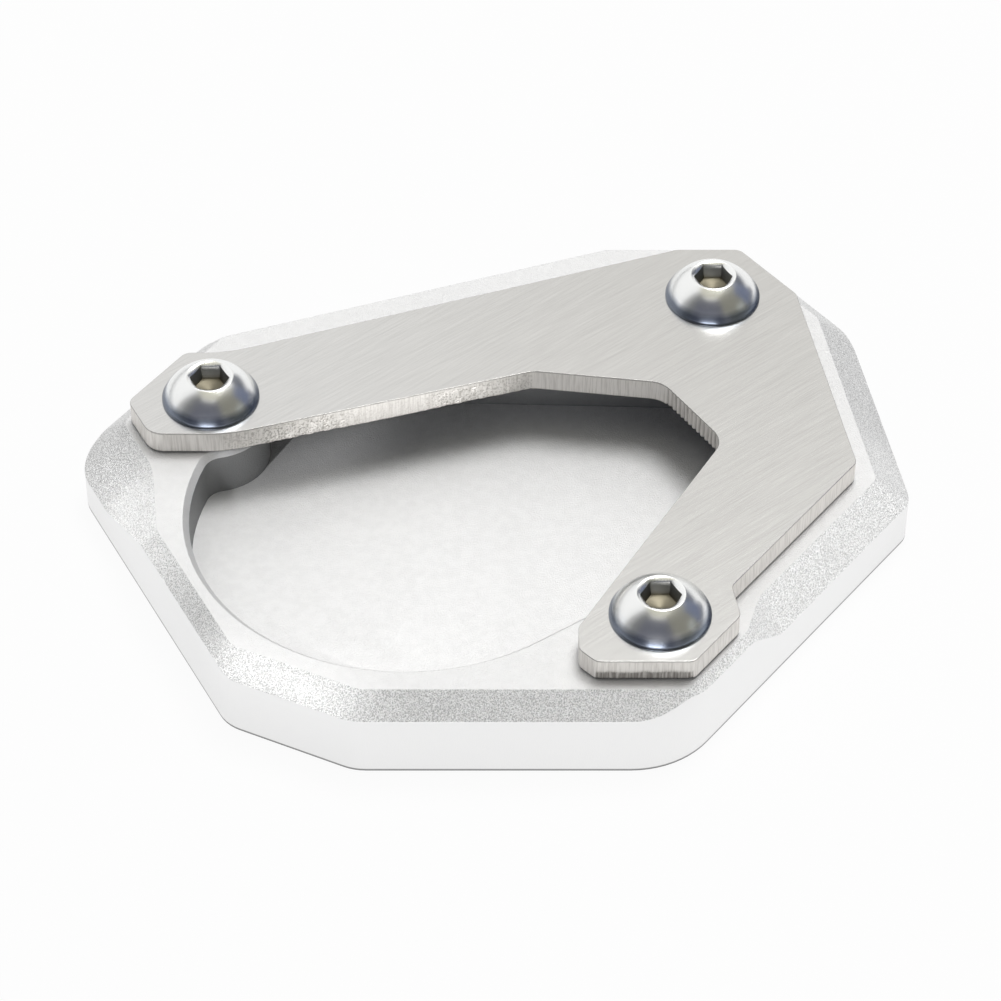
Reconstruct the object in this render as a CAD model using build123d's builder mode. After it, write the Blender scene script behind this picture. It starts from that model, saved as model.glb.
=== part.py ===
from build123d import *
import os
from math import cos, radians, sin, sqrt, tan

# Sizes are in millimetres and degrees. X runs to the right, Y to the rear and Z up from the ground.
# A side's facing is the direction that it looks in, and its reach is its distance from the origin.

# Plate: the wall's main sides
left_front_angle = 27.3
left_front_reach = 34.9
front_reach = 33.5
right_angle = 9.9
right_reach = 39.5
rear_reach = 33.5
rear_length = 16.13
back_angle = 19.5

# Plate: the wall's sides that cut a corner off, and how far in from that corner they lie
front_left_angle = 25.3
front_left_cut = 3.88
right_front_angle = 37.1
right_front_cut = 23.05
rear_right_angle = 37.6
rear_right_cut = 5.63
left_back_angle = 35.3
left_back_cut = 9.81

# Plate: the wall's corner radii, named after the two sides that meet there
left_corner_radius = 4.1
left_front_corner_radius = 4.0
front_left_corner_radius = 5.0
front_right_corner_radius = 9.0
right_corner_radius = 2.5
rear_right_corner_radius = 10.0
rear_corner_radius = 16.0
back_corner_radius = 8.0
left_back_corner_radius = 8.0

# Plate: height, and how far each bevelled side leans in at the top
plate_height = 9.0
bevel_zone = 5.3
left_deep_run = 4.75
left_front_run = 1.6
front_left_run = 2.2
front_run = 2.1
right_front_run = 0.7
right_notch_run = 2.35
right_run = 3.75
rear_right_run = 3.5
rear_run = 2.2
back_run = 2.2
left_back_run = 3.0
even_bevel_rate = 1.0
steep_bevel_rate = 0.59
ground_edge_break = 0.4

# Plate: the two steps where the bevel goes from deep to shallow, each placed from a wall's corner
step_angle = 21.0
left_step_place = 12.3
right_step_place = 13.74
left_step_radius = 8.0
right_step_radius = 5.0
rim_corner_radius = 1.5

# Plate: the pocket that takes the stand's foot
pocket_depth = 5.0
toe_radius = 21.0
toe_left_rim = 1.55
toe_front_rim = 2.8
heel_radius = 13.0
heel_right_rim = 7.0
heel_front_rim = 5.4
cutter_radius = 2.0
pocket_edge_break = 0.6

# Clamp: how far its outer sides stand back from the plate's top edge
clamp_thickness = 2.5
clamp_left_margin = 0.7
clamp_left_back_margin = 0.35
clamp_back_margin = 5.2
clamp_rear_margin = 2.95
clamp_rear_right_margin = 1.3
clamp_right_margin = 2.1
clamp_notch_margin = 1.5
clamp_front_right_margin = 0.3
clamp_front_margin = 1.1
clamp_edge_break = 0.2

# Clamp: the throat that the stand's leg passes through, each side placed from the nearest screw
left_arm_angle = 17.3
left_arm_margin = 5.74
throat_angle = 7.6
throat_margin = 13.82
throat_corner_angle = 56.3
throat_corner_margin = 11.88
right_arm_angle = 60.4
right_arm_margin = 5.74
throat_bend_radius = 2.5
arm_bend_radius = 14.0
clamp_corner_radius = 1.2
left_lug_corner_radius = 2.2

# Clamp: the lugs round the screws
front_screw_margin = 6.1
front_right_screw_margin = 6.02
left_screw_margin = 7.46
left_back_screw_margin = 6.2
rear_screw_margin = 7.25
rear_right_screw_margin = 6.88
left_lug_rear_rise = 1.95
left_lug_front_width = 5.4
front_lug_left_width = 7.55
front_lug_right_width = 7.3
front_lug_corner_cut = 1.13

# Screws: M5 button heads with a hexagon socket
thread_diameter = 5.0
screw_length = 8.0
screw_tip_chamfer = 0.5
head_diameter = 9.5
head_height = 2.75
head_rim = 0.2
socket_mouth_diameter = 4.5
socket_sides = 6
socket_across_flats = 3.0
socket_depth = 1.6
socket_mouth_angle = 30.0

# Fits and holes
clamp_hole_clearance = 0.5
thread_clearance = 0.1
tapped_depth = 6.0
drill_point_angle = 59.0
screw_land = 3.0


def side(facing, reach):
    """A straight side, as the direction that it faces and its distance from the origin."""
    return Vector(cos(radians(facing)), sin(radians(facing))), reach


def set_back(line, amount):
    """The same side, nearer to the origin by an amount."""
    return line[0], line[1] - amount


def side_past(facing, point, margin=0):
    """A side that faces a given way and lies a margin beyond a point."""
    normal = Vector(cos(radians(facing)), sin(radians(facing)))
    return normal, normal.dot(point) + margin


def corner(first, second):
    """The point where two sides meet."""
    (a, a_reach), (b, b_reach) = first, second
    turn = a.X * b.Y - a.Y * b.X
    return Vector((a_reach * b.Y - b_reach * a.Y) / turn, (b_reach * a.X - a_reach * b.X) / turn)


def cut_off(first, second, facing, amount):
    """A side that faces a given way and cuts the corner of two other sides off by an amount."""
    return side_past(facing, corner(first, second), -amount)


def corners(sides):
    """The corners of a closed outline, each between one side and the next."""
    return [corner(here, after) for here, after in zip(sides, sides[1:] + sides[:1])]


# Directions that the sides face
rear_facing = 90
left_facing = 180
front_facing = 270
left_front_facing = left_facing + left_front_angle
front_left_facing = front_facing - front_left_angle
right_front_facing = -right_front_angle
right_facing = right_angle
rear_right_facing = rear_right_angle
back_facing = rear_facing + back_angle
left_back_facing = left_facing - left_back_angle
left_step_facing = left_front_facing - step_angle
right_step_facing = right_front_facing + step_angle

# The plate's wall, each corner lying after the side of the same row
wall_left_front = side(left_front_facing, left_front_reach)
wall_front = side(front_facing, front_reach)
wall_right = side(right_facing, right_reach)
wall_rear = side(rear_facing, rear_reach)
wall_front_left = cut_off(wall_left_front, wall_front, front_left_facing, front_left_cut)
wall_right_front = cut_off(wall_front, wall_right, right_front_facing, right_front_cut)
wall_rear_right = cut_off(wall_right, wall_rear, rear_right_facing, rear_right_cut)
wall_back = side_past(back_facing, corner(wall_rear_right, wall_rear) - Vector(rear_length, 0))
wall_left_back = cut_off(wall_back, wall_left_front, left_back_facing, left_back_cut)
wall = [
    (wall_left_front, left_front_corner_radius),
    (wall_front_left, front_left_corner_radius),
    (wall_front, front_right_corner_radius),
    (wall_right_front, right_corner_radius),
    (wall_right, rear_right_corner_radius),
    (wall_rear_right, rear_corner_radius),
    (wall_rear, back_corner_radius),
    (wall_back, left_back_corner_radius),
    (wall_left_back, left_corner_radius),
]

# The top edge, where the bevels meet the flat rim
top_left = set_back(wall_left_front, left_deep_run)
top_left_front = set_back(wall_left_front, left_front_run)
top_front_left = set_back(wall_front_left, front_left_run)
top_front = set_back(wall_front, front_run)
top_right_front = set_back(wall_right_front, right_front_run)
top_notch = set_back(wall_right_front, right_notch_run)
top_right = set_back(wall_right, right_run)
top_rear_right = set_back(wall_rear_right, rear_right_run)
top_rear = set_back(wall_rear, rear_run)
top_back = set_back(wall_back, back_run)
top_left_back = set_back(wall_left_back, left_back_run)


def step_side(facing, deep, shallow, start, place):
    """The slanted side between a deep and a shallow bevel, at a place along their wall from a corner."""
    normal = deep[0]
    along = Vector(-normal.Y, normal.X)
    middle = normal * ((deep[1] + shallow[1]) / 2)
    return side_past(facing, middle + along * (along.dot(start) + place))


left_corner = corner(wall_left_back, wall_left_front)
left_step = step_side(left_step_facing, top_left, top_left_front, left_corner, left_step_place)
front_right_corner = corner(wall_front, wall_right_front)
right_step = step_side(right_step_facing, top_notch, top_right_front, front_right_corner, right_step_place)

# Each top side with its bevel's rate, the radius of the corner after it, and whether that corner bulges out
top = [
    (top_left, even_bevel_rate, left_step_radius, False),
    (left_step, even_bevel_rate, rim_corner_radius, True),
    (top_left_front, even_bevel_rate, rim_corner_radius, True),
    (top_front_left, even_bevel_rate, rim_corner_radius, True),
    (top_front, even_bevel_rate, rim_corner_radius, True),
    (top_right_front, steep_bevel_rate, rim_corner_radius, True),
    (right_step, steep_bevel_rate, right_step_radius, False),
    (top_notch, steep_bevel_rate, rim_corner_radius, True),
    (top_right, even_bevel_rate, rim_corner_radius, True),
    (top_rear_right, even_bevel_rate, rim_corner_radius, True),
    (top_rear, even_bevel_rate, rim_corner_radius, True),
    (top_back, even_bevel_rate, rim_corner_radius, True),
    (top_left_back, even_bevel_rate, rim_corner_radius, True),
]

# The clamp's outer sides, which follow the plate's top edge
clamp_left = set_back(top_left, clamp_left_margin)
clamp_left_back = set_back(top_left_back, clamp_left_back_margin)
clamp_back = set_back(top_back, clamp_back_margin)
clamp_rear = set_back(top_rear, clamp_rear_margin)
clamp_rear_right = set_back(top_rear_right, clamp_rear_right_margin)
clamp_right = set_back(top_right, clamp_right_margin)
clamp_notch = set_back(top_notch, clamp_notch_margin)
clamp_front_right = set_back(top_right_front, clamp_front_right_margin)
clamp_front = set_back(top_front, clamp_front_margin)

# Screw places, each set in from two of the clamp's sides
left_screw = corner(
    set_back(clamp_left, left_screw_margin), set_back(clamp_left_back, left_back_screw_margin)
)
rear_screw = corner(
    set_back(clamp_rear, rear_screw_margin), set_back(clamp_rear_right, rear_right_screw_margin)
)
front_screw = corner(
    set_back(clamp_front, front_screw_margin), set_back(clamp_front_right, front_right_screw_margin)
)
screws = [left_screw, rear_screw, front_screw]

# The clamp's lugs and throat
left_lug_rear = side_past(rear_facing, corner(clamp_back, clamp_left_back), left_lug_rear_rise)
left_lug_front = side_past(front_facing, left_screw, left_lug_front_width)
front_lug_left = side_past(left_facing, front_screw, front_lug_left_width)
front_lug_right = side_past(right_facing, front_screw, front_lug_right_width)
front_lug_cut = cut_off(front_lug_left, clamp_front, (left_facing + front_facing) / 2, front_lug_corner_cut)
left_arm = side_past(front_facing + left_arm_angle, left_screw, left_arm_margin)
throat = side_past(front_facing - throat_angle, rear_screw, throat_margin)
throat_corner = side_past(front_facing - throat_corner_angle, rear_screw, throat_corner_margin)
right_arm = side_past(rear_facing + right_arm_angle, front_screw, right_arm_margin)
clamp = [
    (clamp_left, left_lug_corner_radius),
    (left_lug_front, arm_bend_radius),
    (left_arm, throat_bend_radius),
    (throat, throat_bend_radius),
    (throat_corner, throat_bend_radius),
    (right_arm, clamp_corner_radius),
    (front_lug_left, clamp_corner_radius),
    (front_lug_cut, clamp_corner_radius),
    (clamp_front, clamp_corner_radius),
    (clamp_front_right, clamp_corner_radius),
    (front_lug_right, clamp_corner_radius),
    (clamp_notch, clamp_corner_radius),
    (clamp_right, clamp_corner_radius),
    (clamp_rear_right, clamp_corner_radius),
    (clamp_rear, clamp_corner_radius),
    (clamp_back, arm_bend_radius),
    (left_lug_rear, clamp_corner_radius),
    (clamp_left_back, clamp_corner_radius),
]

# The pocket's two rounded ends
toe_centre = corner(
    set_back(top_left_front, toe_left_rim + toe_radius), set_back(top_front, toe_front_rim + toe_radius)
)
heel_centre = corner(
    set_back(top_right, heel_right_rim + heel_radius), set_back(top_notch, heel_front_rim + heel_radius)
)

# Heights that the pieces share
pocket_floor = plate_height - pocket_depth
bevel_bottom = plate_height - bevel_zone
clamp_top = plate_height + clamp_thickness
clamp_hole_radius = (thread_diameter + clamp_hole_clearance) / 2
tapped_radius = (thread_diameter + thread_clearance) / 2
land_radius = tapped_radius + screw_land


def flared(depth):
    """The top edge carried outwards and down its bevels by a depth, as sides and corner radii."""
    sides = [set_back(line, -depth * rate) for line, rate, _, _ in top]
    radii = [r + depth * rate if bulges else r - depth * rate for _, rate, r, bulges in top]
    return sides, radii


os.makedirs("parts", exist_ok=True)

# Base plate: a milled pad with bevelled sides and a pocket for the stand's foot
with BuildPart() as base_plate:
    with BuildSketch(Plane.XY.offset(plate_height)) as top_edge:
        sides, radii = flared(0)
        with BuildLine():
            FilletPolyline(*corners(sides), radius=radii, close=True)
        make_face()
    with BuildSketch(Plane.XY.offset(bevel_bottom)) as flared_edge:
        sides, radii = flared(bevel_zone)
        with BuildLine():
            FilletPolyline(*corners(sides), radius=radii, close=True)
        make_face()
    loft(ruled=True)
    with BuildSketch(Plane.XY.offset(bevel_bottom)) as wall_edge:
        with BuildLine():
            FilletPolyline(
                *corners([line for line, _ in wall]), radius=[radius for _, radius in wall], close=True
            )
        make_face()
    extrude(amount=bevel_zone, mode=Mode.INTERSECT)
    extrude(wall_edge.sketch, amount=-bevel_bottom)
    chamfer(base_plate.faces().sort_by(Axis.Z)[0].outer_wire().edges(), length=ground_edge_break)

    # The pocket keeps a land of metal round each screw
    with BuildSketch(Plane.XY.offset(plate_height)) as pocket:
        with Locations(toe_centre):
            Circle(toe_radius)
        with Locations(heel_centre):
            Circle(heel_radius)
        make_hull()
        with Locations(*screws):
            Circle(land_radius, mode=Mode.SUBTRACT)
        offset(amount=-cutter_radius)
        offset(amount=cutter_radius)
    extrude(amount=-pocket_depth, mode=Mode.SUBTRACT)
    rim = base_plate.faces().filter_by(Plane.XY).sort_by(Axis.Z)[-1]
    chamfer(rim.inner_wires()[0].edges(), length=pocket_edge_break)

    # Tapped holes with the drill's point at the bottom
    with BuildSketch(Plane.XZ) as tapped_hole:
        with BuildLine():
            Polyline(
                (0, plate_height),
                (tapped_radius, plate_height),
                (tapped_radius, plate_height - tapped_depth),
                (0, plate_height - tapped_depth - tapped_radius / tan(radians(drill_point_angle))),
                close=True,
            )
        make_face()
    drilled = revolve(axis=Axis.Z, mode=Mode.PRIVATE)
    with Locations(*screws):
        add(drilled, mode=Mode.SUBTRACT)

# Clamp plate: a bent-arm plate that holds the foot down in the pocket
with BuildPart() as clamp_plate:
    with BuildSketch(Plane.XY.offset(plate_height)):
        with BuildLine():
            FilletPolyline(
                *corners([line for line, _ in clamp]), radius=[radius for _, radius in clamp], close=True
            )
        make_face()
        with Locations(*screws):
            Circle(clamp_hole_radius, mode=Mode.SUBTRACT)
    extrude(amount=clamp_thickness)
    chamfer(clamp_plate.faces().sort_by(Axis.Z)[-1].outer_wire().edges(), length=clamp_edge_break)

# Screws: a domed head with a hexagon socket, on a plain shank
head_radius = head_diameter / 2
mouth_radius = socket_mouth_diameter / 2
shank_radius = thread_diameter / 2
dome_rise = head_height - head_rim
dome_centre = (mouth_radius**2 + head_height**2 - head_radius**2 - head_rim**2) / (2 * dome_rise)
dome_radius = sqrt(head_radius**2 + (head_rim - dome_centre) ** 2)
mouth_drop = mouth_radius * tan(radians(socket_mouth_angle))
with BuildPart() as button_head_screws:
    with BuildSketch(Plane.XZ) as screw_profile:
        with BuildLine():
            Polyline(
                (0, clamp_top + head_height - mouth_drop),
                (0, clamp_top - screw_length),
                (shank_radius - screw_tip_chamfer, clamp_top - screw_length),
                (shank_radius, clamp_top - screw_length + screw_tip_chamfer),
                (shank_radius, clamp_top),
                (head_radius, clamp_top),
                (head_radius, clamp_top + head_rim),
            )
            RadiusArc(
                (head_radius, clamp_top + head_rim), (mouth_radius, clamp_top + head_height), -dome_radius
            )
            Line((mouth_radius, clamp_top + head_height), (0, clamp_top + head_height - mouth_drop))
        make_face()
    turned = revolve(axis=Axis.Z, mode=Mode.PRIVATE)
    with Locations(*screws):
        add(turned)
    with BuildSketch(Plane.XY.offset(clamp_top + head_height - socket_depth)):
        with Locations(*screws):
            RegularPolygon(socket_across_flats / 2, socket_sides, major_radius=False)
    extrude(amount=socket_depth, mode=Mode.SUBTRACT)

for piece, name in (
    (base_plate, "base_plate"),
    (clamp_plate, "clamp_plate"),
    (button_head_screws, "button_head_screws"),
):
    piece.part.label = name
    export_step(piece.part, f"parts/{name}.step")
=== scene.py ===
"""Looks of a kickstand foot enlarger: a blasted pad, a brushed clamp plate and plated screws."""

import logging
import math
from dataclasses import dataclass
from enum import Enum
from typing import Any

import bmesh
import bpy
import numpy as np
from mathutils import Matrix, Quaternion, Vector, noise
from mathutils.geometry import tessellate_polygon


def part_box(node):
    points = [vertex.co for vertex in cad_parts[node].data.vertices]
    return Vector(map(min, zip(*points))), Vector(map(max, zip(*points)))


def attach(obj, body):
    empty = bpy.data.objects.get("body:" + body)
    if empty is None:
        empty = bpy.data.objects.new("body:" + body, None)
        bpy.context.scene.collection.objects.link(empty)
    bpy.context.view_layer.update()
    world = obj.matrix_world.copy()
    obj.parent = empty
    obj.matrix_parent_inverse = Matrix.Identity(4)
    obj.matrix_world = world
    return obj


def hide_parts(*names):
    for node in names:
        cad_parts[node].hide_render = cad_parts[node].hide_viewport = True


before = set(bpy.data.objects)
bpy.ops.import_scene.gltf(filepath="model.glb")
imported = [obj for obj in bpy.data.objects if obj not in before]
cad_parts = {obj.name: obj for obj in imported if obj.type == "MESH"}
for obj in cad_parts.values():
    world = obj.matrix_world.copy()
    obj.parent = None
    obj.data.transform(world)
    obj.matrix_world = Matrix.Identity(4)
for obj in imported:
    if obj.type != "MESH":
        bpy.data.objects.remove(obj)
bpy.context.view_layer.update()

MM = 0.001
BODY = "root"
Colour = tuple[float, float, float]
Triple = tuple[float, float, float]
Span = tuple[float, float]
Ring = list[bmesh.types.BMVert]
EDGE_LAYERS = ("cut", "painted_shade", "torn", "frayed")
WELD = 0.002 * MM
SLIVER = 1e-16
log = logging.getLogger("foot_enlarger")


class Node(Enum):
    """The CAD nodes that the pieces stand for."""

    PAD = "base_plate"
    CLAMP = "clamp_plate"
    SCREWS = "button_head_screws"


class Slot(Enum):
    """The record's material slots."""

    PAD = "blasted_aluminium"
    CLAMP = "brushed_steel"
    SCREWS = "plated_screw"


class CutEdge(Enum):
    """How a stretch of the clamp plate's sheared outline broke."""

    FINE = "fine upright scores"
    SHEARED = "smooth upper half, torn lower half"
    RIDGED = "coarse upright ridges"
    TORN = "ragged break along the lower part"


class LampKind(Enum):
    """The kinds of studio lamp, by their light type."""

    SOFTBOX = "AREA"
    SNOOT = "SPOT"


class Wire:
    """An output socket, with arithmetic that adds Math nodes to its tree."""

    def __init__(self, tree: "Tree", socket: bpy.types.NodeSocket) -> None:
        """Keep the socket and the tree that it is in."""
        self.tree = tree
        self.socket = socket

    def _math(self, operation: str, first: Any, second: Any) -> "Wire":
        """Add one Math node.

        Args:
            operation: The Math node's operation.
            first: A number or a wire.
            second: A number or a wire.

        Returns:
            The node's result.
        """
        return self.tree.add("ShaderNodeMath", {"operation": operation}, {0: first, 1: second})

    def __add__(self, other: Any) -> "Wire":
        """Return self + other."""
        return self._math("ADD", self, other)

    def __sub__(self, other: Any) -> "Wire":
        """Return self - other."""
        return self._math("SUBTRACT", self, other)

    def __rsub__(self, other: Any) -> "Wire":
        """Return other - self."""
        return self._math("SUBTRACT", other, self)

    def __mul__(self, other: Any) -> "Wire":
        """Return self * other."""
        return self._math("MULTIPLY", self, other)

    __radd__ = __add__
    __rmul__ = __mul__

    def larger(self, other: Any) -> "Wire":
        """Return the larger of self and other."""
        return self._math("MAXIMUM", self, other)


class Tree:
    """A node tree that is filled through one method."""

    def __init__(self, tree: bpy.types.NodeTree) -> None:
        """Keep the tree and take out what is in it."""
        self.tree = tree
        tree.nodes.clear()

    def add(
        self,
        kind: str,
        settings: dict[str, Any] | None = None,
        sockets: dict[int | str, Any] | None = None,
        output: int | str = 0,
    ) -> Wire:
        """Add a node, set it up and join its inputs.

        Args:
            kind: The node's type.
            settings: The node's own settings, which are set first.
            sockets: A value or a wire for each input, by name or number.
            output: The output to hand back, by name or number.

        Returns:
            The named output, or an empty wire where the node has none.
        """
        node = self.tree.nodes.new(kind)
        for name, value in (settings or {}).items():
            setattr(node, name, value)
        for key, value in (sockets or {}).items():
            if isinstance(value, Wire):
                self.tree.links.new(value.socket, node.inputs[key])
            else:
                node.inputs[key].default_value = value
        return Wire(self, node.outputs[output] if node.outputs else None)


class Finish(Tree):
    """A surface finish: a material whose nodes start from the piece's own coordinates."""

    def __init__(self, name: str) -> None:
        """Make the material and its coordinate node.

        Args:
            name: The material's name.
        """
        self.material = bpy.data.materials.new(name)
        self.material.use_nodes = True
        super().__init__(self.material.node_tree)
        self.place = self.add("ShaderNodeTexCoord", output="Object")

    def share(self, name: str) -> Wire:
        """Return an attribute of the piece, from 0 to 1."""
        return self.add("ShaderNodeAttribute", {"attribute_name": name}, output="Fac")

    def speckle(self, size: float, detail: float = 2.0) -> Wire:
        """Return a noise around 0.5 whose lumps are about size metres wide."""
        values = {"Vector": self.place, "Scale": 1 / size, "Detail": detail, "Roughness": 0.5}
        return self.add("ShaderNodeTexNoise", {"noise_dimensions": "3D"}, values)

    def streaks(self, turn: Triple, size: Triple, detail: float = 3.0) -> Wire:
        """Make long parallel marks.

        Args:
            turn: The turn of the marks' own axes, in degrees.
            size: About how far a mark reaches along each of its axes, in metres.
            detail: How many finer layers are added.

        Returns:
            A noise around 0.5.
        """
        angles = tuple(math.radians(angle) for angle in turn)
        axes = {"Vector": self.place, "Rotation": angles, "Scale": size}
        turned = self.add("ShaderNodeMapping", {"vector_type": "TEXTURE"}, axes)
        values = {"Vector": turned, "Scale": 1.0, "Detail": detail, "Roughness": 0.6}
        return self.add("ShaderNodeTexNoise", {"noise_dimensions": "3D"}, values)

    def between(self, value: Wire, span: Span, first: float = 0.0, last: float = 1.0) -> Wire:
        """Map a value's span onto first to last, held at the ends."""
        ends = {"From Min": span[0], "From Max": span[1], "To Min": first, "To Max": last}
        return self.add("ShaderNodeMapRange", {"clamp": True}, {"Value": value, **ends})

    def blend(self, share: Any, first: Any, second: Any) -> Wire:
        """Mix two colours.

        Args:
            share: How much of the second colour is taken.
            first: A colour or a wire.
            second: A colour or a wire.

        Returns:
            The mixed colour.
        """
        colours = [(*c, 1.0) if isinstance(c, tuple) else c for c in (first, second)]
        settings = {"data_type": "RGBA", "blend_type": "MIX"}
        return self.add("ShaderNodeMix", settings, {0: share, 6: colours[0], 7: colours[1]}, 2)

    def bump(self, height: Wire, depth: float, under: Wire | None = None) -> Wire:
        """Turn a height into a normal.

        Args:
            height: The height, from 0 to 1.
            depth: How deep a height of 1 is, in metres.
            under: The normal of a coarser layer beneath.

        Returns:
            The bent normal.
        """
        values = {"Strength": 1.0, "Distance": depth, "Height": height}
        if under is not None:
            values["Normal"] = under
        return self.add("ShaderNodeBump", None, values)

    def metal(self, colour: Any, rough: Any, normal: Wire, bare: Any = 1.0) -> bpy.types.Material:
        """Close the tree with a metal surface.

        Args:
            colour: The base colour.
            rough: The roughness.
            normal: The bent normal.
            bare: How much of the light is mirrored, and not scattered by a torn or etched skin.

        Returns:
            The finished material.
        """
        values = {"Base Color": colour, "Metallic": bare, "Roughness": rough, "Normal": normal}
        surface = self.add("ShaderNodeBsdfPrincipled", None, values)
        self.add("ShaderNodeOutputMaterial", None, {"Surface": surface})
        return self.material


@dataclass(frozen=True)
class BlastedAluminium:
    """Bead-blasted aluminium: even on the flats, coarse on the bevels, smoother on the walls."""

    colour: Colour = (0.82, 0.82, 0.822)
    shade: Colour = (0.80, 0.80, 0.802)
    # Painted light: the pocket floor's colours are lighter than the rim's, to even out the shade
    # that the pocket and the clamp cast on it.
    sunk_painted_light_colour: Colour = (0.89, 0.89, 0.893)
    sunk_painted_light_shade: Colour = (0.86, 0.86, 0.863)
    sunk_below: float = 0.0065
    milled: Colour = (0.885, 0.885, 0.883)
    crest: Colour = (1.0, 1.0, 0.995)
    hollow: Colour = (0.56, 0.56, 0.555)
    # Painted shade: the pocket's inner walls are coloured dark, as they lie in shade under the
    # clamp.
    pocket_wall_painted_shade: Colour = (0.30, 0.304, 0.308)
    # Painted shadow along the foot of the walls and bevels, where they meet the floor.
    foot_painted_shadow: Colour = (0.24, 0.24, 0.24)
    flat_rough: float = 0.60
    bevel_rough: float = 0.38
    wall_rough: float = 0.34
    flat_bare: float = 0.75
    bevel_bare: float = 0.32
    wall_bare: float = 0.90
    grain: float = 0.00013
    grain_turn: Triple = (23.0, 34.0, 37.0)
    grain_span: Span = (0.37, 0.60)
    grain_depth: float = 0.00011
    flat_relief: float = 0.50
    bevel_relief: float = 0.50
    wall_relief: float = -0.40
    fleck: float = 0.0009
    fleck_span: Span = (0.36, 0.64)
    cloud: float = 0.012
    cloud_rough: float = 0.05
    sunk_fade: float = 0.0005
    foot_height: float = 0.00068
    foot_fade: float = 0.8

    def make(self) -> bpy.types.Material:
        """Make the pad's material.

        Returns:
            The material, which reads the pad's face attributes.
        """
        finish = Finish(Slot.PAD.value)
        bevel, wall, pocket = (finish.share(name) for name in ("bevel", "wall", "pocket"))
        grain = finish.streaks(self.grain_turn, (self.grain, self.grain, self.grain), 1.0)
        flecked = finish.between(finish.speckle(self.fleck), self.fleck_span)
        cloud = finish.speckle(self.cloud)
        height = finish.add("ShaderNodeSeparateXYZ", None, {0: finish.place}, "Z")
        # The low pocket floor takes the lighter colours: painted light against the shade that falls
        # in the pocket.
        sunk = finish.between(height, (self.sunk_below, self.sunk_below + self.sunk_fade), 1.0, 0.0)
        even = finish.blend(
            sunk,
            finish.blend(flecked, self.shade, self.colour),
            finish.blend(flecked, self.sunk_painted_light_shade, self.sunk_painted_light_colour),
        )
        coarse = finish.blend(finish.between(grain, self.grain_span), self.hollow, self.crest)
        # A thin painted shadow along the foot of the walls and bevels, where they meet the floor.
        low_edge = (self.foot_fade * self.foot_height, self.foot_height)
        foot = finish.between(height, low_edge, 1.0, 0.0)
        # The pocket's inner walls take painted shade.
        skin = finish.blend(pocket, finish.blend(bevel, even, coarse), self.pocket_wall_painted_shade)
        skin = finish.blend(wall, skin, self.milled)
        colour = finish.blend((bevel + wall) * foot, skin, self.foot_painted_shadow)
        flat = 1 - bevel - wall
        rough = self.flat_rough * flat + self.bevel_rough * bevel + self.wall_rough * wall
        bare = self.flat_bare * flat + self.bevel_bare * bevel + self.wall_bare * wall
        relief = self.flat_relief + self.bevel_relief * bevel + self.wall_relief * wall
        normal = finish.bump(grain * relief, self.grain_depth)
        return finish.metal(colour, rough + (cloud - 0.5) * self.cloud_rough, normal, bare)


@dataclass(frozen=True)
class BrushedSteel:
    """Stainless sheet with a one-way brushed face and a torn, matt cut edge."""

    colour: Colour = (0.690, 0.684, 0.669)
    shade: Colour = (0.622, 0.616, 0.602)
    cut_colour: Colour = (0.82, 0.795, 0.76)
    score_shade: Colour = (0.665, 0.64, 0.605)
    # The torn lower half's own tone, also painted shade at the bottom of the ridges' grooves.
    frayed_tone_and_painted_groove_shade: Colour = (0.24, 0.226, 0.208)
    torn_shade: Colour = (0.44, 0.42, 0.39)
    # Near-black painted shadow in the crevice under the plate's foot, also used as painted shade on
    # the top edge's rounding.
    painted_shade_colour: Colour = (0.012, 0.010, 0.009)
    rough: float = 0.25
    cut_rough: float = 0.44
    brush_turn: Triple = (0.0, 0.0, 39.5)
    broad_mark: Triple = (0.012, 0.0006, 0.0006)
    fine_mark: Triple = (0.005, 0.00009, 0.00009)
    fine_share: float = 0.85
    mark_span: Span = (0.34, 0.66)
    mark_rough: float = 0.07
    mark_depth: float = 0.000003
    score: Triple = (0.00016, 0.00016, 0.0030)
    score_span: Span = (0.34, 0.56)
    score_depth: float = 0.00002
    fray_span: Span = (0.38, 0.62)
    crumb: float = 0.00021
    crumb_span: Span = (0.38, 0.50)
    crumb_depth: float = 0.00009
    cut_scatter: float = 0.55

    def make(self) -> bpy.types.Material:
        """Make the clamp plate's material.

        Returns:
            The material, which reads the plate's edge layers.
        """
        finish = Finish(Slot.CLAMP.value)
        cut, painted_shade, torn, frayed = (finish.share(name) for name in EDGE_LAYERS)
        broad = finish.streaks(self.brush_turn, self.broad_mark)
        fine = finish.streaks(self.brush_turn, self.fine_mark, 2.0)
        mixed = broad * (1 - self.fine_share) + fine * self.fine_share
        face = finish.blend(finish.between(mixed, self.mark_span), self.shade, self.colour)
        scores = finish.streaks((0, 0, 0), self.score, 2.0)
        crumbs = finish.speckle(self.crumb, 1.5)
        upright = finish.between(scores, self.score_span)
        ragged = frayed * finish.between(scores, self.fray_span, 1.0, 0.5)
        pitted = finish.between(crumbs, self.crumb_span, 1.0, 0.0) * torn
        scored = finish.blend(upright, self.score_shade, self.cut_colour)
        # Frayed stretches and ridge grooves darken: the torn half's tone, and painted shade in the
        # grooves.
        scored = finish.blend(ragged, scored, self.frayed_tone_and_painted_groove_shade)
        colour = finish.blend(cut, face, finish.blend(pitted, scored, self.torn_shade))
        # Painted shadow in the foot's crevice and painted shade along the top edge.
        colour = finish.blend(painted_shade, colour, self.painted_shade_colour)
        brushed_rough = self.rough + (fine - 0.5) * self.mark_rough
        rough = brushed_rough * (1 - cut) + self.cut_rough * cut
        brushed = finish.bump(fine * (1 - cut), self.mark_depth)
        scratched = finish.bump(scores * cut, self.score_depth, brushed)
        normal = finish.bump(crumbs * torn, self.crumb_depth, scratched)
        return finish.metal(colour, rough, normal, 1 - self.cut_scatter * cut)


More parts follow.
